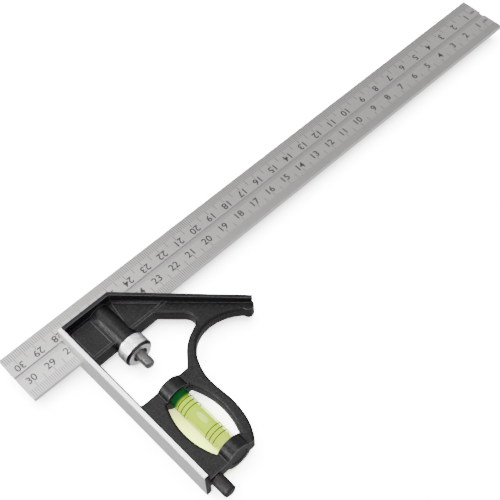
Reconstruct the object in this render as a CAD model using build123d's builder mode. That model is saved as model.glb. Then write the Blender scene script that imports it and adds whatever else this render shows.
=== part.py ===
from build123d import *
import os
from math import sqrt

# Combination square: a steel rule that slides through a cast head and is clamped by a draw bolt.
# Frame: the origin is the inside corner, where the blade's inner edge meets the 90 degree face.
# +X runs along the blade away from the 90 degree face, +Y towards the blade's outer edge,
# +Z through the thickness. Z = 0 is the middle of the blade and of the head. Millimetres.

# ---------------------------------------------------------------- blade
blade_length = 305.0
blade_width = 25.4
blade_thickness = 2.2
blade_stub = 25.4              # length left standing out past the 90 degree face
blade_edge_break = 0.15
groove_width = 2.8
groove_depth = 0.9

# ---------------------------------------------------------------- head casting
head_thickness = 18.0
head_rise = 15.0               # outer end of the head above the slot floor
head_foot = 77.5               # foot of the head below the slot floor
square_flange = 2.6            # thickness of the 90 degree flange
end_flange = 1.8
miter_flange = 1.8
miter_crossing = 42.4          # x where the 45 degree face meets the slot floor line
miter_tip_x = 71.8             # x of the outer corner at the tip of the arm
arm_tip_thickness = 14.0       # the arm's flange narrows to this at its tip
housing_thickness = 8.0        # wall around the blade slot
housing_drop = 4.5             # metal left below the slot floor
web_thickness = 6.6            # arm, neck and body
flange_paint_bevel = 0.5
rim_break = 0.25               # small bevel along the rims of the flanges
panel_depth = 0.5
panel_border = 1.5
panel_miter_border = 0.8
panel_boss_top = 6.4           # the slanted side of the larger panel, from the bolt's axis
panel_boss_foot = 3.8
web_edge_round = 1.2
foot_web_top = 34.1            # upper edge of the body below the slot floor
foot_web_round = 3.0
slot_side_gap = 0.10
slot_floor_gap = 0.05

# Free outline of the arm, the neck and the body, from the arm's tip to the foot.
arm_nose = 0.8                 # how far the web's rounded end stands out past the flange
arm_nose_middle = 2.6          # middle of the rounded end, below the 45 degree face
arm_nose_top = 0.9
arm_underside = ((-2.5, 5.3), (-9.5, 6.3), (-15.1, 8.9))      # past the tip, under the 45 degree face
neck_outside = ((47.4, -24.8), (40.4, -27.9), (35.2, -34.6))
body_side = ((32.5, 0.23), (33.0, 0.51), (31.8, 0.77))        # x, and share of the way from neck to foot
body_foot_x = 27.0
# Edge of the finger window along the neck and under the arm.
neck_foot = (29.2, -foot_web_top)
neck_curve = ((34.2, -28.3), (39.3, -24.0), (45.0, -21.4))
window_corner = ((47.3, -18.6), (45.6, -13.6))
window_corner_start = (36.5, -housing_drop)
window_corner_lead = (1, -1)   # directions of the window's edge at the ends of its curves
neck_lead = (-1, -0.35)
neck_foot_lead = (-0.75, -0.7)

# ---------------------------------------------------------------- lock bolt, nut and spring
bolt_axis_x = 20.0
bolt_boss_radius = 6.0
bolt_boss_drop = 7.2           # end of the boss below the slot floor
bolt_thread_radius = 2.5
bolt_end_drop = 21.5
bolt_end_chamfer = 0.8
bolt_head_radius = 4.0
bolt_head_past_hook = 0.85     # metal of the bolt's head beyond the hook
bolt_travel = 1.2              # how far the bolt lifts when the nut is loosened
bolt_shoulder_drop = 2.6
bolt_ledge = 1.4
bolt_bore_gap = 0.10
hook_width = 1.4
hook_gap = 0.05
hook_root_overlap = 0.5        # depth of the hook's root inside the jaw
jaw_gap = 0.20
jaw_floor_gap = 0.30
nut_radius = 7.0
nut_length = 7.1
nut_chamfer = 0.5
nut_recess_radius = 5.2
nut_recess_depth = 0.5
nut_seat_gap = 0.05
thread_gap = 0.05
spring_wire_radius = 0.32
spring_outer_radius = 3.75
spring_turns = 3.5

# ---------------------------------------------------------------- spirit level
vial_axis_x = 18.4
vial_boss_radius = 6.8
vial_boss_far = 34.5           # outer end of the upper boss below the slot floor
vial_boss_length = 6.2
vial_window_top_gap = 0.5      # from the upper boss to the oval window
vial_window_foot_gap = 0.1     # from the oval window to the lower boss
vial_window_bulge = 0.1133     # bulge of each side, as a share of the window's length
vial_window_end_half_width = 6.6
vial_tube_radius = 4.5
vial_tube_wall = 1.0
vial_bore_gap = 0.05
vial_bore_floor = 2.0
vial_seat_thickness = 0.8
vial_plug_thickness = 1.8
vial_plug_recess = 0.3
vial_tube_floor = 1.5
vial_stopper_length = 2.5
vial_fill_gap = 0.02
bubble_radius = 1.15
bubble_length = 9.0
bubble_height = 2.0
bubble_travel = 6.0
bubble_gap = 0.30
bubble_end_round = 0.9         # rounding of the bubble's ends, as a share of its radius
ring_width = 0.40
ring_depth = 0.10
ring_pitch = 2.15
ring_inner_offset = 6.4        # first ring from the middle of the marks
ring_middle_offset = 0.5       # middle of the marks above the middle of the window
rings_per_side = 3

# ---------------------------------------------------------------- scriber
scriber_axis_x = 5.6
scriber_knob_radius = 3.0
scriber_knob_length = 8.4
scriber_knob_gap = 0.3
scriber_knob_round = 0.8
scriber_needle_radius = 0.9
scriber_reach = 40.0           # needle length inside the head
scriber_point = 6.0
scriber_root = 6.0             # needle length pressed into the knob
scriber_sleeve_radius = 2.0
scriber_sleeve_length = 9.0
scriber_bore_radius = 1.3
scriber_bore_spare = 1.5
scriber_fit_gap = 0.05
press_gap = 0.01

# ---------------------------------------------------------------- drawing aids
overrun = 1.0                  # how far a cutting shape runs past the surface
same_place = 0.01              # tolerance for finding an edge by its position

# ---------------------------------------------------------------- worked out from the above
half_head = head_thickness / 2
half_blade = blade_thickness / 2
half_housing = housing_thickness / 2
half_web = web_thickness / 2
diagonal = 1 / sqrt(2)
miter_start = (miter_crossing - head_rise, head_rise)
miter_tip = (miter_tip_x, miter_crossing - miter_tip_x)
miter_length = (miter_tip_x - miter_start[0]) / diagonal
miter_inner_crossing = miter_crossing - miter_flange / diagonal
miter_tip_inner = (miter_tip[0] - miter_flange * diagonal, miter_tip[1] - miter_flange * diagonal)
end_flange_under = head_rise - end_flange
boss_foot_end = head_foot - vial_boss_length
window_top = -(vial_boss_far + vial_boss_length + vial_window_top_gap)
window_foot = -(boss_foot_end - vial_window_foot_gap)
window_middle = (window_top + window_foot) / 2
window_half_width = vial_window_end_half_width + vial_window_bulge * (window_top - window_foot)
marks_middle = window_middle + ring_middle_offset
groove_middle = blade_width / 2
hook_foot = groove_middle - groove_width / 2 + hook_gap
bolt_head_top = hook_foot + hook_width + bolt_head_past_hook
jaw_half_slot = half_blade + jaw_gap
jaw_floor = -(bolt_travel + jaw_floor_gap)
ledge_top = -(bolt_boss_drop - bolt_ledge)
tube_top = -(vial_boss_far + vial_bore_floor + vial_seat_thickness)
tube_foot = -(head_foot - vial_plug_recess - vial_plug_thickness)
tube_inner_radius = vial_tube_radius - vial_tube_wall
needle_tip = -(head_foot - scriber_reach)
needle_root = -(head_foot + scriber_knob_gap + scriber_root)
ring_places = [
    marks_middle - side * (ring_inner_offset + index * ring_pitch)
    for side in (-1, 1)
    for index in range(rings_per_side)
]


def at_tip(past, under):
    """Point near the arm's tip: so far past its end, and so far under the 45 degree face."""
    return (
        miter_tip[0] + (past - under) * diagonal,
        miter_tip[1] - (past + under) * diagonal,
    )


def level(y):
    """Plane square to Y at height y. Its local axes are X and Z, and it extrudes towards -Y."""
    return Plane.XZ.offset(-y)


neck_end = neck_outside[-1][1]
arm_under_tip = at_tip(*arm_underside[0])
outer_curve = (
    *(at_tip(past, under) for past, under in arm_underside),
    *neck_outside,
    *((x, neck_end - share * (head_foot + neck_end)) for x, share in body_side),
    (body_foot_x, -head_foot),
)


# ---------------------------------------------------------------- head casting
with BuildPart() as head_casting:
    # One thin web: the arm, the neck and the body, with the finger window and the oval window.
    with BuildSketch(Plane.XY):
        with BuildLine():
            Polyline(
                (0, -head_foot),
                (0, end_flange_under),
                (miter_inner_crossing - end_flange_under, end_flange_under),
                at_tip(0, arm_nose_top),
            )
            ThreePointArc(at_tip(0, arm_nose_top), at_tip(arm_nose, arm_nose_middle), arm_under_tip)
            Spline(*outer_curve)
            Line(outer_curve[-1], (0, -head_foot))
        make_face()
        with BuildLine():
            window_foot_corner = (square_flange + foot_web_round, -foot_web_top + foot_web_round)
            Polyline(
                (square_flange, window_foot_corner[1]),
                (square_flange, -housing_drop),
                window_corner_start,
                window_corner[1],
            )
            Spline(*reversed(window_corner), neck_curve[-1], tangents=[window_corner_lead, neck_lead])
            Spline(*reversed(neck_curve), neck_foot, tangents=[neck_lead, neck_foot_lead])
            Line(neck_foot, (window_foot_corner[0], -foot_web_top))
            ThreePointArc(
                (window_foot_corner[0], -foot_web_top),
                (
                    window_foot_corner[0] - foot_web_round * diagonal,
                    window_foot_corner[1] - foot_web_round * diagonal,
                ),
                (square_flange, window_foot_corner[1]),
            )
        make_face(mode=Mode.SUBTRACT)
        with BuildLine():
            for side in (-1, 1):
                ThreePointArc(
                    (vial_axis_x + side * vial_window_end_half_width, window_top),
                    (vial_axis_x + side * window_half_width, window_middle),
                    (vial_axis_x + side * vial_window_end_half_width, window_foot),
                )
            for end in (window_top, window_foot):
                Line(
                    (vial_axis_x - vial_window_end_half_width, end),
                    (vial_axis_x + vial_window_end_half_width, end),
                )
        make_face(mode=Mode.SUBTRACT)
    extrude(amount=half_web, both=True)
    free_rims = [
        edge for edge in head_casting.edges()
        if abs(abs(edge.center().Z) - half_web) < same_place
        and square_flange - same_place < edge.center().X < arm_under_tip[0]
        and -head_foot + same_place < edge.center().Y < end_flange_under - same_place
        and edge.center().X + edge.center().Y < miter_inner_crossing - same_place
    ]
    fillet(free_rims, web_edge_round)

    # Three flanges in one bent strip: 90 degree face, outer end, 45 degree face.
    with BuildSketch(Plane.XY):
        with BuildLine():
            Polyline(
                (0, -head_foot),
                (0, head_rise),
                miter_start,
                miter_tip,
                miter_tip_inner,
                (miter_inner_crossing - end_flange_under, end_flange_under),
                (square_flange, end_flange_under),
                (square_flange, -head_foot),
                close=True,
            )
        make_face()
    extrude(amount=half_head, both=True)

    # The arm's flange narrows evenly towards its tip, on both sides.
    miter_side = Plane(
        origin=(miter_start[0], miter_start[1], 0),
        x_dir=(diagonal, -diagonal, 0),
        z_dir=(-diagonal, -diagonal, 0),
    )
    with BuildSketch(miter_side):
        for side in (1, -1):
            with BuildLine():
                Polyline(
                    (0, side * half_head),
                    (2 * miter_length, side * (arm_tip_thickness - half_head)),
                    (2 * miter_length, side * 2 * half_head),
                    (0, side * 2 * half_head),
                    close=True,
                )
            make_face()
    extrude(amount=2 * miter_flange, both=True, mode=Mode.SUBTRACT)

    # Slot housing between the flanges.
    with BuildSketch(Plane.XY):
        with BuildLine():
            Polyline(
                (0, -housing_drop),
                (0, end_flange_under),
                (miter_inner_crossing - end_flange_under, end_flange_under),
                (miter_inner_crossing + housing_drop, -housing_drop),
                close=True,
            )
        make_face()
    extrude(amount=half_housing, both=True)

    # Round bosses for the lock bolt and for the two ends of the vial.
    with BuildSketch(level(head_rise)):
        with Locations((bolt_axis_x, 0)):
            Circle(bolt_boss_radius)
    extrude(amount=head_rise + bolt_boss_drop)
    for boss_start in (vial_boss_far, boss_foot_end):
        with BuildSketch(level(-boss_start)):
            with Locations((vial_axis_x, 0)):
                Circle(vial_boss_radius)
        extrude(amount=vial_boss_length)

    # Sunk panels on both sides of the slot housing. The larger one also trims the foot of the boss.
    panel_foot = -housing_drop + panel_border
    panel_top = end_flange_under - panel_border
    panel_left = square_flange + panel_border
    boss_side = bolt_axis_x - sqrt(bolt_boss_radius**2 - half_housing**2)
    panel_slope = miter_inner_crossing - panel_miter_border / diagonal
    for side in (1, -1):
        with BuildSketch(Plane.XY.offset(side * (half_housing - panel_depth))):
            with BuildLine():
                Polyline(
                    (panel_left, panel_foot),
                    (panel_left, panel_top),
                    (boss_side - panel_border, panel_top),
                    (boss_side - panel_border, panel_foot),
                    close=True,
                )
            make_face()
            with BuildLine():
                Polyline(
                    (bolt_axis_x + panel_boss_foot, panel_foot),
                    (bolt_axis_x + panel_boss_top, panel_slope - bolt_axis_x - panel_boss_top),
                    (panel_slope - panel_foot, panel_foot),
                    close=True,
                )
            make_face()
        extrude(amount=side * bolt_boss_radius, mode=Mode.SUBTRACT)

    # Blade slot, open at the outer end of the head.
    with BuildSketch(Plane.YZ.offset(-overrun)):
        with BuildLine():
            Polyline(
                (-slot_floor_gap, -half_blade - slot_side_gap),
                (head_rise + overrun, -half_blade - slot_side_gap),
                (head_rise + overrun, half_blade + slot_side_gap),
                (-slot_floor_gap, half_blade + slot_side_gap),
                close=True,
            )
        make_face()
    extrude(amount=miter_crossing + 2 * overrun, mode=Mode.SUBTRACT)

    # Stepped bore for the lock bolt.
    with BuildSketch(level(head_rise)):
        with Locations((bolt_axis_x, 0)):
            Circle(bolt_head_radius + bolt_bore_gap)
    extrude(amount=head_rise - ledge_top, mode=Mode.SUBTRACT)
    with BuildSketch(level(ledge_top)):
        with Locations((bolt_axis_x, 0)):
            Circle(bolt_thread_radius + bolt_bore_gap)
    extrude(amount=bolt_ledge, mode=Mode.SUBTRACT)

    # Vial bore, open at the foot and blind at the top.
    with BuildSketch(level(-head_foot)):
        with Locations((vial_axis_x, 0)):
            Circle(vial_tube_radius + vial_bore_gap)
    extrude(amount=-(head_foot - vial_boss_far - vial_bore_floor), mode=Mode.SUBTRACT)

    # Scriber bore, wider at the foot for its sleeve.
    with BuildSketch(level(-head_foot)):
        with Locations((scriber_axis_x, 0)):
            Circle(scriber_bore_radius)
    extrude(amount=-(scriber_reach + scriber_bore_spare), mode=Mode.SUBTRACT)
    with BuildSketch(level(-head_foot)):
        with Locations((scriber_axis_x, 0)):
            Circle(scriber_sleeve_radius + press_gap)
    extrude(amount=-scriber_sleeve_length, mode=Mode.SUBTRACT)

    # Painted bevel inside the long 90 degree flange.
    inner_rims = [
        edge for edge in head_casting.edges()
        if abs(abs(edge.center().Z) - half_head) < same_place
        and abs(edge.center().X - square_flange) < same_place
    ]
    chamfer(inner_rims, flange_paint_bevel)
    # Small bevels along the long edges of the 90 degree face and of the 45 degree face.
    outer_rims = [
        edge for edge in head_casting.edges()
        if abs(edge.center().Z) > arm_tip_thickness / 2 - same_place
        and (
            edge.center().X + edge.center().Y > miter_crossing - same_place
            or edge.center().X < same_place
        )
        and edge.length > miter_length / 2
    ]
    chamfer(outer_rims, rim_break)
head_casting.part.label = "head_casting"

# ---------------------------------------------------------------- blade
with BuildPart() as blade:
    with BuildSketch(Plane.YZ.offset(-blade_stub)):
        with Locations((groove_middle, 0)):
            Rectangle(blade_width, blade_thickness)
    extrude(amount=blade_length)
    chamfer(blade.edges().filter_by(Axis.X), blade_edge_break)
    with BuildSketch(Plane.YZ.offset(-blade_stub)):
        with Locations((groove_middle, half_blade)):
            Rectangle(groove_width, 2 * groove_depth)
    extrude(amount=blade_length, mode=Mode.SUBTRACT)
blade.part.label = "blade"

# ---------------------------------------------------------------- lock bolt
with BuildPart() as lock_bolt:
    with BuildSketch(level(bolt_head_top)):
        with Locations((bolt_axis_x, 0)):
            Circle(bolt_head_radius)
    extrude(amount=bolt_head_top + bolt_shoulder_drop)
    with BuildSketch(level(-bolt_shoulder_drop)):
        with Locations((bolt_axis_x, 0)):
            Circle(bolt_thread_radius)
    extrude(amount=bolt_end_drop - bolt_shoulder_drop)
    chamfer(lock_bolt.edges().sort_by(Axis.Y)[0], bolt_end_chamfer)
    # Jaws that pass on both sides of the blade.
    with BuildSketch(level(bolt_head_top)):
        with Locations((bolt_axis_x, 0)):
            Rectangle(2 * bolt_head_radius, 2 * jaw_half_slot)
    extrude(amount=bolt_head_top - jaw_floor, mode=Mode.SUBTRACT)
    # Hook that drops into the blade's groove and pulls on its inner wall.
    hook_floor = half_blade - groove_depth + jaw_gap
    hook_root = jaw_half_slot + hook_root_overlap
    hook_half_length = sqrt(bolt_head_radius**2 - hook_root**2)
    with BuildSketch(level(hook_foot + hook_width)):
        with Locations((bolt_axis_x, (hook_floor + hook_root) / 2)):
            Rectangle(2 * hook_half_length, hook_root - hook_floor)
    extrude(amount=hook_width)
lock_bolt.part.label = "lock_bolt"

# ---------------------------------------------------------------- lock nut
nut_seat = -(bolt_boss_drop + nut_seat_gap)
with BuildPart() as lock_nut:
    with BuildSketch(level(nut_seat)):
        with Locations((bolt_axis_x, 0)):
            Circle(nut_radius)
            Circle(bolt_thread_radius + thread_gap, mode=Mode.SUBTRACT)
    extrude(amount=nut_length)
    nut_rims = lock_nut.edges().filter_by(GeomType.CIRCLE)
    chamfer([edge for edge in nut_rims if abs(edge.radius - nut_radius) < same_place], nut_chamfer)
    with BuildSketch(level(nut_seat - nut_length)):
        with Locations((bolt_axis_x, 0)):
            Circle(nut_recess_radius)
    extrude(amount=-nut_recess_depth, mode=Mode.SUBTRACT)
lock_nut.part.label = "lock_nut"

# ---------------------------------------------------------------- bolt spring
spring_top = -bolt_shoulder_drop - spring_wire_radius - hook_gap
spring_foot = ledge_top + spring_wire_radius + hook_gap
spring_coil_radius = spring_outer_radius - spring_wire_radius
with BuildPart() as bolt_spring:
    with BuildLine():
        coil = Helix(
            pitch=(spring_top - spring_foot) / spring_turns,
            height=spring_top - spring_foot,
            radius=spring_coil_radius,
            center=(bolt_axis_x, spring_foot, 0),
            direction=(0, 1, 0),
        )
    with BuildSketch(Plane(origin=coil @ 0, z_dir=coil % 0)):
        Circle(spring_wire_radius)
    sweep()
bolt_spring.part.label = "bolt_spring"

# ---------------------------------------------------------------- spirit level
with BuildPart() as vial_seat:
    with BuildSketch(level(tube_top + vial_seat_thickness)):
        with Locations((vial_axis_x, 0)):
            Circle(vial_tube_radius)
    extrude(amount=vial_seat_thickness)
vial_seat.part.label = "vial_seat"

with BuildPart() as vial_tube:
    with BuildSketch(level(tube_top)):
        with Locations((vial_axis_x, 0)):
            Circle(vial_tube_radius)
    extrude(amount=tube_top - tube_foot)
    with BuildSketch(level(tube_foot)):
        with Locations((vial_axis_x, 0)):
            Circle(tube_inner_radius)
    extrude(amount=-(tube_top - tube_foot - vial_tube_floor), mode=Mode.SUBTRACT)
    for ring_place in ring_places:
        with BuildSketch(level(ring_place + ring_width / 2)):
            with Locations((vial_axis_x, 0)):
                Circle(vial_tube_radius)
                Circle(vial_tube_radius - ring_depth, mode=Mode.SUBTRACT)
        extrude(amount=ring_width, mode=Mode.SUBTRACT)
vial_tube.part.label = "vial_tube"

with BuildPart() as vial_rings:
    for ring_place in ring_places:
        with BuildSketch(level(ring_place + ring_width / 2)):
            with Locations((vial_axis_x, 0)):
                Circle(vial_tube_radius)
                Circle(vial_tube_radius - ring_depth, mode=Mode.SUBTRACT)
        extrude(amount=ring_width)
vial_rings.part.label = "vial_rings"

with BuildPart() as vial_stopper:
    with BuildSketch(level(tube_foot + vial_stopper_length)):
        with Locations((vial_axis_x, 0)):
            Circle(tube_inner_radius - press_gap)
    extrude(amount=vial_stopper_length)
vial_stopper.part.label = "vial_stopper"

liquid_top = tube_top - vial_tube_floor
liquid_foot = tube_foot + vial_stopper_length
track_radius = bubble_radius + bubble_gap
track_half = bubble_length / 2 + bubble_travel + bubble_gap
with BuildPart() as vial_liquid:
    with BuildSketch(level(liquid_top)):
        with Locations((vial_axis_x, 0)):
            Circle(tube_inner_radius - vial_fill_gap)
    extrude(amount=liquid_top - liquid_foot)
    # Free track along the top of the liquid, in which the bubble runs.
    with BuildSketch(level(marks_middle + track_half)):
        with Locations((vial_axis_x, bubble_height)):
            Circle(track_radius)
        with Locations((vial_axis_x, bubble_height + track_radius)):
            Rectangle(2 * track_radius, 2 * track_radius)
    extrude(amount=2 * track_half, mode=Mode.SUBTRACT)
vial_liquid.part.label = "vial_liquid"

with BuildPart() as vial_bubble:
    with BuildSketch(level(marks_middle + bubble_length / 2)):
        with Locations((vial_axis_x, bubble_height)):
            Circle(bubble_radius)
    extrude(amount=bubble_length)
    fillet(vial_bubble.edges().filter_by(GeomType.CIRCLE), bubble_end_round * bubble_radius)
vial_bubble.part.label = "vial_bubble"

with BuildPart() as vial_plug:
    with BuildSketch(level(tube_foot)):
        with Locations((vial_axis_x, 0)):
            Circle(vial_tube_radius + vial_bore_gap - press_gap)
    extrude(amount=vial_plug_thickness)
vial_plug.part.label = "vial_plug"

# ---------------------------------------------------------------- scriber
with BuildPart() as scriber_sleeve:
    with BuildSketch(level(-head_foot)):
        with Locations((scriber_axis_x, 0)):
            Circle(scriber_sleeve_radius)
            Circle(scriber_needle_radius + scriber_fit_gap, mode=Mode.SUBTRACT)
    extrude(amount=-scriber_sleeve_length)
scriber_sleeve.part.label = "scriber_sleeve"

with BuildPart() as scriber_needle:
    with BuildSketch(Plane.XY):
        with BuildLine():
            Polyline(
                (scriber_axis_x, needle_root),
                (scriber_axis_x + scriber_needle_radius, needle_root),
                (scriber_axis_x + scriber_needle_radius, needle_tip - scriber_point),
                (scriber_axis_x, needle_tip),
                close=True,
            )
        make_face()
    revolve(axis=Axis((scriber_axis_x, 0, 0), (0, 1, 0)))
scriber_needle.part.label = "scriber_needle"

knob_top = -(head_foot + scriber_knob_gap)
with BuildPart() as scriber_knob:
    with BuildSketch(level(knob_top)):
        with Locations((scriber_axis_x, 0)):
            Circle(scriber_knob_radius)
    extrude(amount=scriber_knob_length)
    fillet(scriber_knob.edges().sort_by(Axis.Y)[0], scriber_knob_round)
    with BuildSketch(level(knob_top)):
        with Locations((scriber_axis_x, 0)):
            Circle(scriber_needle_radius + press_gap)
    extrude(amount=scriber_root, mode=Mode.SUBTRACT)
scriber_knob.part.label = "scriber_knob"

# ---------------------------------------------------------------- one STEP file for each piece
os.makedirs("parts", exist_ok=True)
for piece in (
    head_casting, blade, lock_bolt, lock_nut, bolt_spring,
    vial_seat, vial_tube, vial_rings, vial_stopper, vial_liquid, vial_bubble, vial_plug,
    scriber_sleeve, scriber_needle, scriber_knob,
):
    export_step(piece.part, f"parts/{piece.part.label}.step")
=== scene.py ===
import math

import bmesh
import bpy
from mathutils import Matrix, Vector


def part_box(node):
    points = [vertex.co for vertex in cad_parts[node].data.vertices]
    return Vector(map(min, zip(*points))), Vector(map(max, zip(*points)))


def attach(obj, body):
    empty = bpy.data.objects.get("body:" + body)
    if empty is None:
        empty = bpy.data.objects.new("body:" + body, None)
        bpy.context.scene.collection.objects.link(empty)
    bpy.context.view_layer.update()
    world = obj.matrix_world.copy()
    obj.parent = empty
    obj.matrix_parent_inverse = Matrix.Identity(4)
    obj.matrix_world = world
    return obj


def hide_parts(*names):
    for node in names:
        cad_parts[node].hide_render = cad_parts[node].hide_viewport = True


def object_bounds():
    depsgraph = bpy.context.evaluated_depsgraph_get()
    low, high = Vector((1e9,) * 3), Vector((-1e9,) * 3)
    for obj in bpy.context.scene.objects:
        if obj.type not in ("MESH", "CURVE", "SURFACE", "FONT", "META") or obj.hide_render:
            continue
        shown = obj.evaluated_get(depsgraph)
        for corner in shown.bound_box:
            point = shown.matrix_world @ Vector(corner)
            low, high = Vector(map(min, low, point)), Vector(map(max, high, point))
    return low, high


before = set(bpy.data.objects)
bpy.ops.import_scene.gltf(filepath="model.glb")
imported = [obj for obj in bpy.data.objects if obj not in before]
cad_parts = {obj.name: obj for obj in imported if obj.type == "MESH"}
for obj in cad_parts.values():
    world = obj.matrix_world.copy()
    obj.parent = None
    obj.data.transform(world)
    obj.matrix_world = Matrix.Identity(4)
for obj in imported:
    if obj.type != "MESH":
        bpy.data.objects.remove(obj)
CAD_BOX = [list(corner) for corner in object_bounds()]

bl_info = {
    "name": "Combination square",
    "version": (1, 0, 0),
    "blender": (4, 5, 0),
    "location": "3D View > Sidebar > Square",
    "description": "Finishes a combination square: painted head, ruled blade, lock nut, vial and scriber",
    "category": "Object",
}

MM = 0.001
BLADE_LOW, BLADE_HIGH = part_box("blade")
_, HEAD_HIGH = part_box("head_casting")
NUT_LOW, NUT_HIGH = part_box("lock_nut")
BOLT_LOW, BOLT_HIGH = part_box("lock_bolt")
TUBE_LOW, TUBE_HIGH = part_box("vial_tube")
LIQUID_LOW, LIQUID_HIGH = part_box("vial_liquid")
BUBBLE_LOW, BUBBLE_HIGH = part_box("vial_bubble")
KNOB_LOW, KNOB_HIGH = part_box("scriber_knob")

FULL_TURN = 2 * math.pi
INCH = 25.4 * MM
BLACK = (0.0, 0.0, 0.0, 1)

# Along the vial: where the upper boss's shade starts and ends,
# and where the liquid starts to pale and is palest.
SHADE_START_Y = -45.4 * MM
SHADE_END_Y = -43.0 * MM
PALE_START_Y = -60 * MM
PALE_END_Y = -72 * MM

# Each softbox: name, middle, the point it faces, width, depth and watts.
SOFTBOXES = (
    ("rim_softbox", (-0.01, 0.17, 0.60), (-0.01, 0.17, 0), 0.30, 0.24, 2.7),
    ("side_softbox", (-0.75, -0.25, 0.40), (0.03, -0.03, 0), 0.50, 0.50, 6.0),
    ("strip_softbox", (-0.66, 0.345, 0.43), (0.03, -0.03, 0), 0.60, 0.06, 10.0),
    ("floor_softbox", (0.06, 0.14, 0.90), (0.06, 0, 0), 1.15, 1.15, 225),
)
SKY_BELOW = 0.62
SKY_ABOVE = 1.12
HORIZON_BLUR = 0.25

CAMERA_PLACE = (-0.0877, -0.2099, 0.4017)
CAMERA_AZIMUTH = 41.463
CAMERA_ELEVATION = 56.222
CAMERA_ROLL = -2.794
LENS_LENGTH = 76.91
SENSOR_WIDTH = 36


# ---------------------------------------------------------------- sizes and colours a user would change
def length(name, description, default):
    """A length property, in metres."""
    return bpy.props.FloatProperty(
        name=name, description=description, default=default, unit="LENGTH", precision=5)


def colour(name, description, default):
    """A colour property."""
    return bpy.props.FloatVectorProperty(
        name=name, description=description, default=(*default, 1), size=4, subtype="COLOR", min=0, max=1)


class SquareSizes(bpy.types.PropertyGroup):
    """Sizes of the fine detail on the head, the blade, the nut, the bolt and the scriber."""

    numeral_height: length("Numeral height", "Height of the centimetre numbers", 3.45 * MM)
    numeral_middle: length("Numeral row", "From the blade's edge to the middle of its numbers", 8.5 * MM)
    numeral_shift: length("Single digit shift", "Shift of a single digit towards the zero end", 1.7 * MM)
    tick_width: length("Tick width", "Width of an etched line", 0.24 * MM)
    tick_short: length("Millimetre tick", "Length of a millimetre line", 4.3 * MM)
    tick_half: length("Half tick", "Length of a five millimetre line", 7.2 * MM)
    tick_long: length("Centimetre tick", "Length of a centimetre line", 6.6 * MM)
    mark_rise: length("Mark rise", "How far the filled marks stand proud of the blade", 0.012 * MM)
    knurl_depth: length("Knurl depth", "Depth of the knurl on the lock nut", 0.16 * MM)
    thread_pitch: length("Thread pitch", "Pitch of the lock bolt's thread", 0.8 * MM)
    thread_depth: length("Thread depth", "Depth of the lock bolt's thread", 0.42 * MM)
    knob_knurl_depth: length("Knob knurl depth", "Depth of the knurl on the scriber knob", 0.13 * MM)
    ground_rim: length("Ground rim", "Width of the bare rim along the 90 degree flange", 1.85 * MM)


class SquareColours(bpy.types.PropertyGroup):
    """Base colours of the finishes."""

    paint: colour("Paint", "Baked black paint of the head", (0.0036, 0.0034, 0.0037))
    ground: colour("Ground metal", "Bare ground faces of the head", (0.90, 0.90, 0.89))
    blade: colour("Blade", "Satin stainless steel", (0.40, 0.395, 0.385))
    marks: colour("Marks", "Filling of the etched lines and numbers", (0.012, 0.012, 0.012))
    nut: colour("Nut", "Nickel plate", (0.93, 0.93, 0.92))
    bolt: colour("Bolt", "Blackened steel", (0.24, 0.235, 0.235))
    spirit: colour("Spirit", "Fluorescent liquid of the vial", (0.66, 1.0, 0.0))
    spirit_far: colour("Spirit in shade", "Liquid inside the upper boss", (0.006, 0.075, 0.016))
    spirit_pale: colour("Pale spirit", "Liquid towards the foot of the vial", (0.86, 0.98, 0.10))
    rings: colour("Vial rings", "Dark ring lines on the vial", (0.004, 0.010, 0.0))
    stopper: colour("Stopper", "Stopper that seals the vial", (0.10, 0.16, 0.03))
    seat: colour("Seat", "Soft pad at the end of the vial", (0.02, 0.02, 0.02))
    plug: colour("Plug", "Black plug at the foot of the head", (0.012, 0.012, 0.0115))
    knob: colour("Scriber knob", "Blackened knurled metal", (0.009, 0.0075, 0.007))
    brass: colour("Brass", "Scriber sleeve", (0.62, 0.44, 0.17))
    needle: colour("Needle", "Hardened steel of the scriber", (0.55, 0.55, 0.56))
    spring: colour("Spring", "Plain spring wire", (0.35, 0.35, 0.36))
    cast: colour("Vial cast", "Light of the vial on the floor", (0.43, 0.52, 0.06))
    floor: colour("Floor", "Pale studio floor", (0.93, 0.93, 0.93))


# ---------------------------------------------------------------- materials
class Value:
    """A number that flows through a material. Arithmetic on it adds Math nodes."""

    def __init__(self, shader, socket):
        self.shader = shader
        self.socket = socket

    def maths(self, operation, *others):
        """A Math node whose first input is this number."""
        return self.shader.maths(operation, self, *others)

    def __add__(self, other):
        return self.maths("ADD", other)

    def __sub__(self, other):
        return self.maths("SUBTRACT", other)

    def __rsub__(self, other):
        return self.shader.maths("SUBTRACT", other, self)

    def __mul__(self, other):
        return self.maths("MULTIPLY", other)

    def __lt__(self, other):
        return self.maths("LESS_THAN", other)

    def __gt__(self, other):
        return self.maths("GREATER_THAN", other)

    def __or__(self, other):
        return self.maths("MAXIMUM", other)

    def __abs__(self):
        return self.maths("ABSOLUTE")

    __radd__ = __add__
    __rmul__ = __mul__


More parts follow.
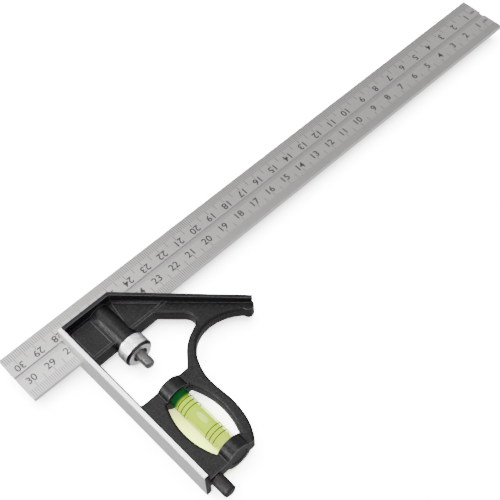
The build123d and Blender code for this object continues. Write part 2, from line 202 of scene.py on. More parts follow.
class Nodes:
    """An empty node tree, and short ways to fill it."""

    def __init__(self, owner):
        owner.use_nodes = True
        self.tree = owner.node_tree
        self.tree.nodes.clear()

    def node(self, kind, settings, inputs):
        """Any node: its settings are set first, then the values or links of its sockets."""
        made = self.tree.nodes.new(kind)
        for key, value in settings.items():
            setattr(made, key, value)
        for key, value in inputs.items():
            self.feed(made.inputs[key], value)
        return made

    def feed(self, socket, value):
        """Links a socket to a value, or sets it."""
        if isinstance(value, Value):
            self.tree.links.new(value.socket, socket)
        elif isinstance(value, bpy.types.NodeSocket):
            self.tree.links.new(value, socket)
        else:
            socket.default_value = value

    def maths(self, operation, *values):
        """One Math node on numbers or values."""
        made = self.node("ShaderNodeMath", {"operation": operation}, dict(enumerate(values)))
        return Value(self, made.outputs[0])

    def place(self):
        """The point on the piece, in metres, and its three coordinates."""
        point = self.node("ShaderNodeTexCoord", {}, {}).outputs["Object"]
        return point, *self.split(point)

    def facing(self):
        """The three coordinates of the surface's direction."""
        return self.split(self.node("ShaderNodeTexCoord", {}, {}).outputs["Normal"])

    def split(self, vector):
        """The three coordinates of a vector."""
        made = self.node("ShaderNodeSeparateXYZ", {}, {0: vector})
        return tuple(Value(self, out) for out in made.outputs)

    def scaled(self, point, factors):
        """The point with each coordinate multiplied, for grain that runs one way."""
        return self.node("ShaderNodeVectorMath", {"operation": "MULTIPLY"}, {0: point, 1: factors}).outputs[0]

    def noise(self, point, size, detail=3, roughness=0.55):
        """Noise from 0 to 1 whose grains are about the given size, in metres."""
        made = self.node("ShaderNodeTexNoise", {}, {
            "Vector": point, "Scale": 1 / size, "Detail": detail, "Roughness": roughness})
        return Value(self, made.outputs["Fac"])

    def span(self, value, low, high, start=0.0, end=1.0):
        """A smooth step from start to end as the value goes from low to high."""
        made = self.node("ShaderNodeMapRange", {"interpolation_type": "SMOOTHSTEP"}, {
            "Value": value, "From Min": low, "From Max": high, "To Min": start, "To Max": end})
        return Value(self, made.outputs["Result"])

    def blend(self, factor, first, second):
        """A colour between two colours."""
        made = self.node("ShaderNodeMix", {"data_type": "RGBA"}, {0: factor, 6: first, 7: second})
        return made.outputs[2]


class Shader(Nodes):
    """A material with one Principled shader."""

    def __init__(self, name, **constants):
        self.material = bpy.data.materials.new(name)
        super().__init__(self.material)
        self.surface = self.node("ShaderNodeBsdfPrincipled", {}, {
            key.replace("_", " ").title().replace("Ior", "IOR"): value for key, value in constants.items()})
        self.node("ShaderNodeOutputMaterial", {}, {"Surface": self.surface.outputs[0]})

    def edges(self, width):
        """1 along an outer edge, where a rounded copy of the surface leans away from it, and 0 elsewhere."""
        flat, rounded_off = 0.985, 0.93
        real = self.node("ShaderNodeNewGeometry", {}, {}).outputs["Normal"]
        rounded = self.node("ShaderNodeBevel", {"samples": 6}, {"Radius": width}).outputs[0]
        along = self.node("ShaderNodeVectorMath", {"operation": "DOT_PRODUCT"}, {0: real, 1: rounded})
        return self.span(Value(self, along.outputs["Value"]), flat, rounded_off)

    def bump(self, height, depth, strength=1.0):
        """Feeds the normal from a height of 0 to 1 over the given depth in metres."""
        made = self.node("ShaderNodeBump", {}, {
            "Height": height, "Distance": depth, "Strength": strength})
        self.feed(self.surface.inputs["Normal"], made.outputs[0])

    def base_color(self):
        """The colour that feeds the shader so far."""
        return self.surface.inputs["Base Color"].links[0].from_socket

    def set(self, **values):
        """Links or sets sockets of the shader by name."""
        for key, value in values.items():
            self.feed(self.surface.inputs[key.replace("_", " ").title()], value)


def shade(tint, factor):
    """A lighter or darker copy of a colour."""
    return (*(min(1, part * factor) for part in tint[:3]), 1)


def casting_finish(sizes, colours):
    """Baked paint over a slightly rough casting, with bare ground faces along the working edges."""
    shader = Shader("cast_head_finish", ior=1.5, specular_ior_level=0.17)
    point, x, y, z = shader.place()
    facing_x, facing_y, facing_z = shader.facing()
    grain = shader.noise(point, 0.75 * MM, 4, 0.6)
    cloud = shader.noise(point, 6 * MM, 2)

    ragged = sizes.ground_rim + (grain - 0.5) * (0.12 * MM)
    rim_depth = 0.4 * MM
    face_depth = 0.3 * MM
    miter_line = HEAD_HIGH.x + arm_tip_y()
    rim = (abs(facing_z) > 0.8) * (abs(z) > HEAD_HIGH.z - rim_depth) * (x < ragged)
    square_face = (facing_x < -0.3) * (x < face_depth)
    miter_face = (facing_x + facing_y > 0.7) * (x + y > miter_line - face_depth)
    bare = rim | square_face | miter_face

    speckle = shader.span(grain, 0.42, 0.66)
    mottle = cloud * 0.3 + speckle * 0.7
    paint = shader.blend(mottle, shade(colours.paint, 0.4), shade(colours.paint, 3.4))
    # Lighter grey along the outer edges: a painted highlight where the rounded edges catch the light, with a
    # little worn paint.
    edge_highlight_and_wear = shader.edges(0.45 * MM) * (0.35 + grain * 0.8)
    edge_highlight_paint = (0.17, 0.17, 0.17, 1)
    paint = shader.blend(edge_highlight_and_wear * 0.6, paint, edge_highlight_paint)

    scratches = shader.noise(shader.scaled(point, (9, 0.25, 9)), 1 * MM, 3, 0.7)
    ground = shader.blend(scratches, shade(colours.ground, 0.95), shade(colours.ground, 1.08))
    ground_roughness = scratches * 0.14 + 0.30
    paint_roughness = grain * 0.16 + 0.28
    shader.set(
        base_color=shader.blend(bare, paint, ground),
        metallic=bare,
        roughness=bare * ground_roughness + (1 - bare) * paint_roughness,
    )
    shader.bump((1 - bare) * grain + bare * scratches * 0.12, 0.11 * MM, 0.8)
    return shader.material


def arm_tip_y():
    """Y of the outer corner at the tip of the arm: the casting's highest point on its furthest side."""
    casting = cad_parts["head_casting"].data
    return max(v.co.y for v in casting.vertices if v.co.x > HEAD_HIGH.x - 0.3 * MM)


def brushed_finish(name, tint, roughness, grain=(0.08, 6, 6), depth=0.006 * MM, spread=0.12):
    """Metal with fine lines. grain scales X, Y and Z: a small factor draws the lines out along its axis."""
    shader = Shader(name, metallic=1.0)
    point, _, _, _ = shader.place()
    lines = shader.noise(shader.scaled(point, grain), 0.5 * MM, 4, 0.65)
    cloud = shader.noise(point, 14 * MM, 2)
    mottle = lines * 0.6 + cloud * 0.4
    shader.set(
        base_color=shader.blend(mottle, shade(tint, 1 - spread), shade(tint, 1 + spread)),
        roughness=lines * 0.14 + (roughness - 0.07),
    )
    shader.bump(lines, depth)
    return shader


def blade_finish(colours):
    """Satin steel, brushed along the blade, with painted shade on the groove's floor and a painted highlight
    on the side and end faces.
    """
    shader = brushed_finish("blade_finish", colours.blade, 0.36, (0.22, 2.4, 2.4), 0.012 * MM, 0.17)
    _, x, y, z = shader.place()
    facing_x, facing_y, _ = shader.facing()
    groove_y = (BLADE_LOW.y + BLADE_HIGH.y) / 2
    groove_floor, groove_side = 1.28 * MM, 1.44 * MM
    floor_depth = 0.3 * MM
    # Painted shade: the floor of the groove is darkened a little towards half the blade's colour.
    groove = shader.span(abs(y - groove_y), groove_floor, groove_side, 1, 0) * (z > 0)
    floor = groove * (z < BLADE_HIGH.z - floor_depth)
    # Painted highlight: the side and end faces take the bright ground colour.
    edge = (abs(facing_y) | abs(facing_x)) > 0.5
    highlighted_sides = shader.blend(edge, shader.base_color(), shade(colours.ground, 1))
    shader.set(base_color=shader.blend(floor * 0.35, highlighted_sides, shade(colours.blade, 0.5)))
    return shader.material


def spirit_finish(name, colours, **constants):
    """Fluorescent green-yellow with a painted glow: painted shade turns it deep green by the upper boss;
    bright in the window, paler near the foot.
    """
    shader = Shader(name, emission_strength=0.95, **constants)
    point, _, y, _ = shader.place()
    shaded = shader.span(y, SHADE_START_Y, SHADE_END_Y)
    pale = shader.span(y, PALE_START_Y, PALE_END_Y)
    cloud = shader.noise(point, 5 * MM, 2)
    body = shader.blend(pale * 0.45 + cloud * 0.12, tuple(colours.spirit), tuple(colours.spirit_pale))
    glow = shader.blend(shaded, body, tuple(colours.spirit_far))
    # The colour also feeds the emission: a painted glow.
    shader.set(base_color=shader.blend(0.72, glow, BLACK), emission_color=glow)
    return shader


def plain_finish(name, tint, roughness, grain_size=0.6 * MM, depth=0.03 * MM, **constants):
    """Moulded plastic, rubber or paint with a fine grain."""
    shader = Shader(name, **constants)
    point, _, _, _ = shader.place()
    grain = shader.noise(point, grain_size, 3)
    shader.set(
        base_color=shader.blend(grain, shade(tint, 0.8), shade(tint, 1.25)),
        roughness=grain * 0.15 + (roughness - 0.07),
    )
    shader.bump(grain, depth, 0.6)
    return shader.material


# ---------------------------------------------------------------- shapes
def piece(name, mesh, body, material, stands_for=(), sharp=30):
    """Makes an object of a mesh, smooth but for its sharp edges, and lets it ride on a body."""
    data = bpy.data.meshes.new(name)
    bmesh.ops.recalc_face_normals(mesh, faces=mesh.faces)
    mesh.to_mesh(data)
    mesh.free()
    data.polygons.foreach_set("use_smooth", [True] * len(data.polygons))
    data.set_sharp_from_angle(angle=math.radians(sharp))
    data.materials.append(material)
    made = bpy.data.objects.new(name, data)
    bpy.context.scene.collection.objects.link(made)
    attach(made, body)
    if stands_for:
        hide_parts(*stands_for)


def finish(node, material):
    """Gives a CAD node its material."""
    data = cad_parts[node].data
    data.materials.clear()
    data.materials.append(material)


def turned(rows, segments, axis_x, radius_at=None, closed=True):
    """A shape turned about a line along Y at z = 0, from rows of (y, radius).

    radius_at may change a radius by its angle and row. A closed shape joins its last row to its first.
    """
    mesh = bmesh.new()
    rings = []
    for row, (y, radius) in enumerate(rows):
        if radius == 0:
            rings.append([mesh.verts.new((axis_x, y, 0))])
            continue
        ring = []
        for step in range(segments):
            angle = FULL_TURN * step / segments
            reach = radius_at(angle, row, y, radius) if radius_at else radius
            ring.append(mesh.verts.new((axis_x + reach * math.cos(angle), y, reach * math.sin(angle))))
        rings.append(ring)
    pairs = list(zip(rings, rings[1:]))
    if closed:
        pairs.append((rings[-1], rings[0]))
    for first, second in pairs:
        for step in range(segments):
            after = (step + 1) % segments
            if len(first) == 1:
                mesh.faces.new((first[0], second[step], second[after]))
            elif len(second) == 1:
                mesh.faces.new((first[step], second[0], first[after]))
            else:
                mesh.faces.new((first[step], second[step], second[after], first[after]))
    return mesh


def evenly(start, end, steps):
    """Values from start to end, both included, in equal steps."""
    return [start + (end - start) * step / steps for step in range(steps + 1)]


def block(mesh, low, high):
    """Adds one closed block to a mesh."""
    corners = [
        mesh.verts.new((x, y, z))
        for x in (low[0], high[0]) for y in (low[1], high[1]) for z in (low[2], high[2])
    ]
    for face in ((0, 1, 3, 2), (4, 6, 7, 5), (0, 4, 5, 1), (2, 3, 7, 6), (0, 2, 6, 4), (1, 5, 7, 3)):
        mesh.faces.new([corners[index] for index in face])


def add_text(mesh, words, height, matrix, thickness):
    """Adds raised text to a mesh, centred on the matrix's origin."""
    digit_share = 0.69          # height of a digit as a share of the type size
    stroke_growth = 0.028       # how far a stroke is thickened, as a share of the height
    curve = bpy.data.curves.new("numeral", "FONT")
    curve.body = words
    curve.align_x = "CENTER"
    curve.align_y = "CENTER"
    curve.size = height / digit_share
    curve.offset = stroke_growth * height
    curve.extrude = thickness / 2
    curve.resolution_u = 3
    holder = bpy.data.objects.new("numeral", curve)
    data = bpy.data.meshes.new_from_object(holder)
    data.transform(matrix)
    mesh.from_mesh(data)
    bpy.data.objects.remove(holder)
    bpy.data.curves.remove(curve)
    bpy.data.meshes.remove(data)


def diamond(angle, y, teeth, pitch, sharpness):
    """Height from 0 to 1 of a diamond knurl at an angle and a place along the axis."""
    across = angle * teeth / FULL_TURN
    along = y / pitch
    first = abs((across + along) % 1 - 0.5) * 2
    second = abs((across - along) % 1 - 0.5) * 2
    return min(1, min(first, second) * sharpness)


def knurl(depth, teeth, pitch, sharpness, start, band):
    """Sinks a diamond knurl into the rows from start to start + band, fading out at both ends."""
    def radius_at(angle, row, y, radius):
        inside = min(row - start, start + band - row)
        if inside < 0:
            return radius
        height = diamond(angle, y, teeth, pitch, sharpness)
        return radius - depth * (1 - height) * min(1, inside / 2)

    return radius_at


def inch_line_share(count, parts):
    """Length of an inch scale's line, as a share of the longest, by the part of the inch it marks."""
    for divisor, share in ((1, 1), (2, 0.85), (4, 0.7), (8, 0.55)):
        if count % (parts // divisor) == 0:
            return share
    return 0.4


# ---------------------------------------------------------------- operators
class SQUARE_OT_casting(bpy.types.Operator):
    """Paint the head casting and bare its ground faces"""

    bl_idname = "square.casting"
    bl_label = "Head casting"

    def execute(self, context):
        scene = context.scene
        finish("head_casting", casting_finish(scene.square_sizes, scene.square_colours))
        return {"FINISHED"}


class SQUARE_OT_blade(bpy.types.Operator):
    """Brush the blade and fill its etched graduations and numbers"""

    bl_idname = "square.blade"
    bl_label = "Blade and graduations"

    def execute(self, context):
        sizes, colours = context.scene.square_sizes, context.scene.square_colours
        finish("blade", blade_finish(colours))
        filling = plain_finish("mark_filling", colours.marks, 0.5)
        self.metric(sizes, filling)
        self.imperial(sizes, filling)
        return {"FINISHED"}

    def tick(self, mesh, sizes, x, length, side, from_edge):
        """One etched line. side is 1 on the grooved face, and from_edge is 1 at the outer edge."""
        edge_gap, sink = 0.16 * MM, 0.03 * MM
        edge = BLADE_HIGH.y - edge_gap if from_edge > 0 else BLADE_LOW.y + edge_gap
        face = side * BLADE_HIGH.z
        half = sizes.tick_width / 2
        ys = sorted((edge, edge - from_edge * length))
        zs = sorted((face - side * sink, face + side * sizes.mark_rise))
        block(mesh, (x - half, ys[0], zs[0]), (x + half, ys[1], zs[1]))

    def label(self, mesh, sizes, words, x, side, from_edge, height):
        """One number, read from the edge that it belongs to."""
        sink = 0.009 * MM
        inwards = sizes.numeral_middle
        middle = BLADE_HIGH.y - inwards if from_edge > 0 else BLADE_LOW.y + inwards
        upside_down = (side > 0) == (from_edge > 0)
        turn = Matrix.Rotation(math.pi if upside_down else 0, 4, "Z")
        flip = Matrix.Rotation(0 if side > 0 else math.pi, 4, "X")
        place = Matrix.Translation((x, middle, side * (BLADE_HIGH.z - sink)))
        add_text(mesh, words, height, place @ flip @ turn, 2 * (sizes.mark_rise + sink))

    def metric(self, sizes, filling):
        """Millimetres along both edges of the grooved face, counted from the far end."""
        lines, numbers = bmesh.new(), bmesh.new()
        zero = BLADE_HIGH.x
        millimetres = round((BLADE_HIGH.x - BLADE_LOW.x) / MM)
        unit_place = zero - 3.2 * MM
        unit_height = 0.55 * sizes.numeral_height
        for from_edge in (-1, 1):
            for count in range(1, millimetres):
                length = sizes.tick_short
                if count % 10 == 0:
                    length = sizes.tick_long
                elif count % 5 == 0:
                    length = sizes.tick_half
                self.tick(lines, sizes, zero - count * MM, length, 1, from_edge)
            for number in range(1, millimetres // 10 + 1):
                shift = sizes.numeral_shift if number < 10 else 0
                x = zero - 10 * number * MM + shift
                self.label(numbers, sizes, str(number), x, 1, from_edge, sizes.numeral_height)
            self.label(numbers, sizes, "cm", unit_place, 1, from_edge, unit_height)
        piece("blade_millimetre_lines", lines, "blade", filling, sharp=20)
        piece("blade_centimetre_numbers", numbers, "blade", filling, sharp=20)

    def imperial(self, sizes, filling):
        """Inches on the plain face: sixteenths along one edge and thirty-seconds along the other."""
        lines, numbers = bmesh.new(), bmesh.new()
        zero = BLADE_HIGH.x
        inches = round((BLADE_HIGH.x - BLADE_LOW.x) / INCH)
        for from_edge, parts in ((-1, 16), (1, 32)):
            for count in range(1, inches * parts):
                length = inch_line_share(count, parts) * sizes.tick_long
                self.tick(lines, sizes, zero - count * INCH / parts, length, -1, from_edge)
            for number in range(1, inches):
                x = zero - number * INCH + sizes.numeral_shift
                self.label(numbers, sizes, str(number), x, -1, from_edge, sizes.numeral_height)
        piece("blade_inch_lines", lines, "blade", filling, sharp=20)
        piece("blade_inch_numbers", numbers, "blade", filling, sharp=20)


class SQUARE_OT_nut(bpy.types.Operator):
    """Turn the lock nut with its knurled rim and dished face"""

    bl_idname = "square.nut"
    bl_label = "Lock nut"

    def execute(self, context):
        sizes, colours = context.scene.square_sizes, context.scene.square_colours
        radius = (NUT_HIGH.x - NUT_LOW.x) / 2
        axis_x = (NUT_HIGH.x + NUT_LOW.x) / 2
        back, front = NUT_HIGH.y, NUT_LOW.y
        bevel, front_bevel = 0.55 * MM, 1.05 * MM
        bevel_end = radius - 0.02 * MM
        bore, countersink = 2.57 * MM, 3.7 * MM
        knurl_gap = 0.1 * MM
        band = 22
        rows = [(back, bore), (back, radius - bevel - 0.15 * MM), (back - bevel, bevel_end)]
        knurl_start = len(rows)
        knurl_rows = evenly(back - bevel - knurl_gap, front + front_bevel + knurl_gap, band)
        rows += [(y, radius) for y in knurl_rows]
        rows += [
            (front + front_bevel, bevel_end),
            (front, radius - front_bevel),
            (front, countersink),
            (front + (countersink - bore), bore),
        ]
        knurled = knurl(sizes.knurl_depth, 44, 1.05 * MM, 2.2, knurl_start, band)
        mesh = turned(rows, 264, axis_x, knurled)
        material = self.plate(colours, front)
        piece("knurled_lock_nut", mesh, "nut", material, ("lock_nut",), 28)
        return {"FINISHED"}

    def plate(self, colours, front):
        """Bright plate, with painted shade, near black, on the slanted front bevel and countersink."""
        nut = brushed_finish("nut_finish", colours.nut, 0.30, (2, 2, 2), 0.004 * MM, 0.05)
        _, facing_y, _ = nut.facing()
        _, _, y, _ = nut.place()
        # Painted shade: the slanted faces of the front bevel and countersink are near black.
        bevel_shade = (facing_y < -0.4) * (facing_y > -0.93) * (y < front + 1.3 * MM)
        bevel_shade_tint = (0.02, 0.02, 0.02, 1)
        nut.set(base_color=nut.blend(bevel_shade * 0.97, nut.base_color(), bevel_shade_tint))
        return nut.material


class SQUARE_OT_bolt(bpy.types.Operator):
    """Cut the lock bolt's thread, and finish the bolt and its spring"""

    bl_idname = "square.bolt"
    bl_label = "Lock bolt and spring"

    def execute(self, context):
        sizes, colours = context.scene.square_sizes, context.scene.square_colours
        dark = brushed_finish("bolt_finish", colours.bolt, 0.34, (2, 2, 2), 0.005 * MM).material
        shoulder = -2.6 * MM
        shank = self.shank(sizes, shoulder)
        head = self.head(shoulder)
        piece("bolt_head_with_hook", head, "bolt", dark, ("lock_bolt",), 25)
        piece("bolt_thread", shank, "bolt", dark, (), 50)
        finish("bolt_spring", brushed_finish("spring_finish", colours.spring, 0.3).material)
        return {"FINISHED"}

    def shank(self, sizes, shoulder):
        """The round shank, threaded from its run-out to its chamfered tip."""
        axis_x = (BOLT_LOW.x + BOLT_HIGH.x) / 2
        tip = BOLT_LOW.y
        crest = 2.5 * MM
        plain = crest - 0.05 * MM
        chamfer = 0.8 * MM
        run_out = -6.2 * MM
        rows_per_turn = 8
        count = int((run_out - tip) / sizes.thread_pitch * rows_per_turn)
        rows = [(shoulder, 0), (shoulder, plain), (run_out, plain)]
        rows += [(y, crest) for y in evenly(run_out, tip, count)[1:]]
        rows += [(tip, 0)]

        def threaded(angle, row, y, reach):
            if y > run_out - 0.01 * MM:
                return reach
            turn = (y / sizes.thread_pitch + angle / FULL_TURN) % 1
            ridge = min(1, max(0, 1.25 - 2.5 * abs(turn - 0.5)))
            return min(crest - sizes.thread_depth * (1 - ridge), crest - chamfer + (y - tip))

        return turned(rows, 40, axis_x, threaded, closed=False)

    def head(self, shoulder):
        """The bolt's head and hook: the CAD bolt above its shoulder, closed where the shank begins."""
        head = bmesh.new()
        head.from_mesh(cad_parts["lock_bolt"].data)
        shaft = [v for v in head.verts if v.co.y < shoulder - 0.01 * MM]
        bmesh.ops.delete(head, geom=shaft, context="VERTS")
        bmesh.ops.remove_doubles(head, verts=head.verts, dist=1e-7)
        bmesh.ops.holes_fill(head, edges=[e for e in head.edges if e.is_boundary], sides=0)
        return head


class SQUARE_OT_vial(bpy.types.Operator):
    """Fill the vial, and finish its tube, bubble, rings, seat, stopper and plug"""

    bl_idname = "square.vial"
    bl_label = "Spirit level"

    def execute(self, context):
        colours = context.scene.square_colours
        axis_x = (TUBE_LOW.x + TUBE_HIGH.x) / 2
        acrylic = spirit_finish("vial_tube_finish", colours, alpha=0.42, ior=1.3, specular_ior_level=0.03)
        point, _, _, _ = acrylic.place()
        acrylic.set(roughness=acrylic.noise(point, 4 * MM) * 0.06 + 0.08)
        finish("vial_tube", acrylic.material)
        finish("vial_rings", plain_finish("ring_finish", colours.rings, 0.5, specular_ior_level=0.1))
        finish("vial_stopper", plain_finish("stopper_finish", colours.stopper, 0.4))
        finish("vial_seat", plain_finish("seat_finish", colours.seat, 0.7))
        plug = plain_finish("plug_finish", colours.plug, 0.5, 0.5 * MM, 0.08 * MM, specular_ior_level=0.3)
        finish("vial_plug", plug)
        self.liquid(axis_x, colours)
        self.bubble(axis_x)
        return {"FINISHED"}

    def liquid(self, axis_x, colours):
        """The liquid, with softened ends and a little clear of the bore."""
        radius = (LIQUID_HIGH.x - LIQUID_LOW.x) / 2 - 0.03 * MM
        low, high = LIQUID_LOW.y, LIQUID_HIGH.y
        soft = 0.5 * MM
        corner = soft * 0.3
        rows = [(high, 0), (high, radius - soft), (high - corner, radius - corner)]
        rows += [(y, radius) for y in evenly(high - soft, low + soft, 12)]
        rows += [(low + corner, radius - corner), (low, radius - soft), (low, 0)]
        mesh = turned(rows, 64, axis_x, closed=False)
        spirit = spirit_finish("spirit_finish", colours, roughness=0.3, specular_ior_level=0.0)
        piece("vial_spirit", mesh, "head", spirit.material, ("vial_liquid",), 60)

    def bubble(self, axis_x):
        """A lens of air that lies against the top of the tube's bore."""
        middle = (BUBBLE_LOW.y + BUBBLE_HIGH.y) / 2
        half_length = (BUBBLE_HIGH.y - BUBBLE_LOW.y) / 2
        half_angle = 0.50
        top = (LIQUID_HIGH.x - LIQUID_LOW.x) / 2 - 0.01 * MM
        rings, around = 7, 48

        def upper_depth(reach):
            return 0.06 * MM * reach ** 3

        def lower_depth(reach):
            return 0.8 * MM * (0.075 + 0.925 * (1 - reach ** 2))

        def signed_power(value, power):
            return math.copysign(abs(value) ** power, value)

        mesh = bmesh.new()
        for depth_at, flip in ((upper_depth, False), (lower_depth, True)):
            grid = []
            for ring in range(rings + 1):
                reach = ring / rings
                radius = top - depth_at(reach)
                row = []
                for step in range(around if ring else 1):
                    angle = FULL_TURN * step / around
                    along = signed_power(math.cos(angle), 0.75) * half_length * reach
                    turn = signed_power(math.sin(angle), 0.9) * half_angle * reach
                    row.append(mesh.verts.new((
                        axis_x + radius * math.sin(turn), middle + along, radius * math.cos(turn))))
                grid.append(row)
            for inner, outer in zip(grid, grid[1:]):
                for step in range(around):
                    after = (step + 1) % around
                    if len(inner) == 1:
                        corners = (inner[0], outer[step], outer[after])
                    else:
                        corners = (inner[step], outer[step], outer[after], inner[after])
                    mesh.faces.new(corners[::-1] if flip else corners)
        bmesh.ops.bridge_loops(mesh, edges=[e for e in mesh.edges if e.is_boundary])
        material = self.air(axis_x, top * math.sin(half_angle), middle, half_length)
        piece("vial_air_bubble", mesh, "bubble", material, ("vial_bubble",), 60)

    def air(self, axis_x, half_width, middle, half_length):
        """Painted light for the air: a pale painted glow, with painted shade in a darker outline."""
        air = Shader("bubble_finish", roughness=0.05, ior=1.2, emission_strength=0.9)
        point, x, y, _ = air.place()
        across = (x - axis_x) * (1 / half_width)
        along = (y - middle) * (1 / half_length)
        # Painted shade darkens the rim of the bubble; the tint also feeds the emission as a painted glow.
        outline_shade = air.span(across * across + along * along, 0.55, 0.90)
        tint = air.blend(air.noise(point, 3 * MM), (0.86, 1.0, 0.34, 1), (0.94, 1.0, 0.48, 1))
        tint = air.blend(outline_shade * 0.85, tint, (0.10, 0.22, 0.0, 1))
        air.set(base_color=tint, emission_color=tint)
        return air.material


class SQUARE_OT_scriber(bpy.types.Operator):
    """Knurl the scriber's knob and finish its needle and sleeve"""

    bl_idname = "square.scriber"
    bl_label = "Scriber"

    def execute(self, context):
        sizes, colours = context.scene.square_sizes, context.scene.square_colours
        axis_x = (KNOB_LOW.x + KNOB_HIGH.x) / 2
        radius = (KNOB_HIGH.x - KNOB_LOW.x) / 2
        back, front = KNOB_HIGH.y, KNOB_LOW.y
        round_end = 0.9 * MM
        band = 34
        rows = [(back, 0), (back, radius - 0.35 * MM), (back - 0.3 * MM, radius - 0.03 * MM)]
        knurl_start = len(rows)
        knurl_rows = evenly(back - 0.5 * MM, front + round_end + 0.15 * MM, band)
        rows += [(y, radius) for y in knurl_rows]
        for angle in evenly(0, math.pi / 2, 6):
            y = front + round_end * (1 - math.sin(angle))
            rows.append((y, radius - round_end * (1 - math.cos(angle)) - 0.02 * MM))
        rows.append((front, 0))
        knurled = knurl(sizes.knob_knurl_depth, 26, 0.75 * MM, 2.0, knurl_start, band)
        mesh = turned(rows, 156, axis_x, knurled, closed=False)

        dark = plain_finish(
            "knob_finish", colours.knob, 0.42, 0.3 * MM, 0.02 * MM, specular_ior_level=0.3)
        needle = brushed_finish("needle_finish", colours.needle, 0.25, (6, 0.1, 6))
        sleeve = brushed_finish("sleeve_finish", colours.brass, 0.3, (4, 4, 4))
        piece("knurled_scriber_knob", mesh, "scriber", dark, ("scriber_knob",), 30)
        finish("scriber_needle", needle.material)
        finish("scriber_sleeve", sleeve.material)
        return {"FINISHED"}


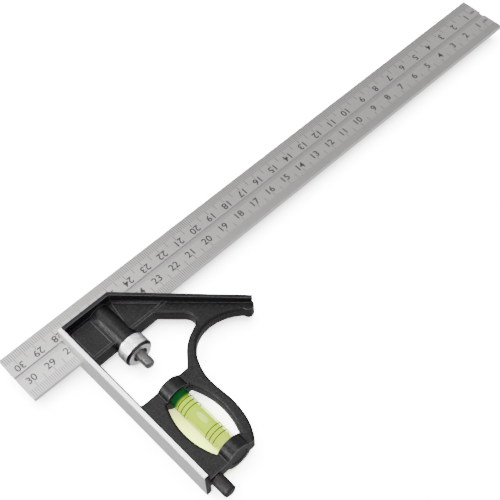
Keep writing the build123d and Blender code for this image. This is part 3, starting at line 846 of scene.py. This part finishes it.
class SQUARE_OT_stage(bpy.types.Operator):
    """Set the pale floor, the soft studio lights and the camera"""

    bl_idname = "square.stage"
    bl_label = "Floor, lights and camera"

    def execute(self, context):
        scene = context.scene
        floor = self.floor(scene.square_colours)
        self.sky(scene)
        self.lights(scene, floor)
        self.camera(scene)
        return {"FINISHED"}

    def floor(self, colours):
        """A wide floor just under the square, kept out of its reflections."""
        gap = 0.02 * MM
        mesh = bmesh.new()
        bmesh.ops.create_grid(mesh, x_segments=4, y_segments=4, size=3)
        bmesh.ops.translate(mesh, verts=mesh.verts, vec=(0, 0, CAD_BOX[0][2] - gap))
        data = bpy.data.meshes.new("floor")
        mesh.to_mesh(data)
        mesh.free()
        data.materials.append(self.floor_finish(colours))
        floor = bpy.data.objects.new("floor", data)
        bpy.context.scene.collection.objects.link(floor)
        floor.visible_diffuse = False
        floor.visible_glossy = False
        return floor

    def floor_finish(self, colours):
        """Matte white, with a painted pool of the vial's yellow light under its window."""
        matte = Shader("floor_finish", roughness=0.9, specular_ior_level=0.0, emission_strength=2.0)
        point, x, y, _ = matte.place()
        cast_x = (TUBE_LOW.x + TUBE_HIGH.x) / 2 - 3 * MM
        cast_y = (BUBBLE_LOW.y + BUBBLE_HIGH.y) / 2
        half_width, half_length = 15 * MM, 27 * MM
        across = (x - cast_x) * (1 / half_width)
        along = (y - cast_y) * (1 / half_length)
        # A painted pool of the vial's yellow light.
        cast = matte.span(across * across + along * along, 0.15, 1.0, 1.0, 0.0)
        paper = matte.noise(point, 40 * MM) * 0.03 + 0.97
        tint = matte.blend(cast * paper, tuple(colours.floor), tuple(colours.cast))
        matte.set(base_color=tint, emission_color=tint)
        return matte.material

    def sky(self, scene):
        """Even white light all round, brighter from above."""
        scene.world = bpy.data.worlds.new("studio")
        room = Nodes(scene.world)
        height = room.split(room.node("ShaderNodeTexCoord", {}, {}).outputs["Generated"])[2]
        strength = room.span(height, -HORIZON_BLUR, HORIZON_BLUR, SKY_BELOW, SKY_ABOVE)
        soft_sky = room.node("ShaderNodeBackground", {}, {"Color": (1, 1, 1, 1), "Strength": strength})
        room.node("ShaderNodeOutputWorld", {}, {"Surface": soft_sky.outputs[0]})

    def lights(self, scene, floor):
        """The softboxes. The floor's own one lights nothing else."""
        backdrop = bpy.data.collections.new("backdrop")
        backdrop.objects.link(floor)
        for name, centre, target, width, depth, power in SOFTBOXES:
            light = bpy.data.lights.new(name, "AREA")
            light.shape = "RECTANGLE"
            light.size = width
            light.size_y = depth
            light.energy = power
            holder = bpy.data.objects.new(name, light)
            holder.location = centre
            holder.rotation_euler = (Vector(centre) - Vector(target)).to_track_quat("Z", "Y").to_euler()
            scene.collection.objects.link(holder)
            if name == "floor_softbox":
                holder.light_linking.receiver_collection = backdrop

    def camera(self, scene):
        """The camera, placed in the frame and turned by its azimuth, elevation and roll."""
        azimuth, elevation, roll = (
            math.radians(angle) for angle in (CAMERA_AZIMUTH, CAMERA_ELEVATION, CAMERA_ROLL))
        view = Vector((
            math.sin(azimuth) * math.cos(elevation),
            math.cos(azimuth) * math.cos(elevation),
            -math.sin(elevation),
        ))
        level_right = view.cross(Vector((0, 0, 1))).normalized()
        level_up = level_right.cross(view)
        right = level_right * math.cos(roll) + level_up * math.sin(roll)
        up = right.cross(view)
        lens = bpy.data.cameras.new("camera")
        lens.sensor_width = SENSOR_WIDTH
        lens.lens = LENS_LENGTH
        lens.clip_start = 0.01
        holder = bpy.data.objects.new("camera", lens)
        turn = Matrix((right, up, -view)).transposed().to_4x4()
        holder.matrix_world = Matrix.Translation(CAMERA_PLACE) @ turn
        scene.collection.objects.link(holder)
        scene.camera = holder


class SQUARE_PT_panel(bpy.types.Panel):
    """Lists the steps that finish the square"""

    bl_label = "Combination square"
    bl_idname = "SQUARE_PT_panel"
    bl_space_type = "VIEW_3D"
    bl_region_type = "UI"
    bl_category = "Square"

    def draw(self, context):
        for step in STEPS:
            self.layout.operator(step.bl_idname)
        for group in (context.scene.square_sizes, context.scene.square_colours):
            for name in group.bl_rna.properties.keys():
                if name not in ("rna_type", "name"):
                    self.layout.prop(group, name)


STEPS = (
    SQUARE_OT_stage,
    SQUARE_OT_casting,
    SQUARE_OT_blade,
    SQUARE_OT_nut,
    SQUARE_OT_bolt,
    SQUARE_OT_vial,
    SQUARE_OT_scriber,
)
CLASSES = (SquareSizes, SquareColours, *STEPS, SQUARE_PT_panel)


def register():
    for kind in CLASSES:
        bpy.utils.register_class(kind)
    bpy.types.Scene.square_sizes = bpy.props.PointerProperty(type=SquareSizes)
    bpy.types.Scene.square_colours = bpy.props.PointerProperty(type=SquareColours)


def unregister():
    del bpy.types.Scene.square_colours
    del bpy.types.Scene.square_sizes
    for kind in reversed(CLASSES):
        bpy.utils.unregister_class(kind)


def main():
    register()
    for step in STEPS:
        group, name = step.bl_idname.split(".")
        getattr(getattr(bpy.ops, group), name)()


if __name__ == "__main__":
    main()
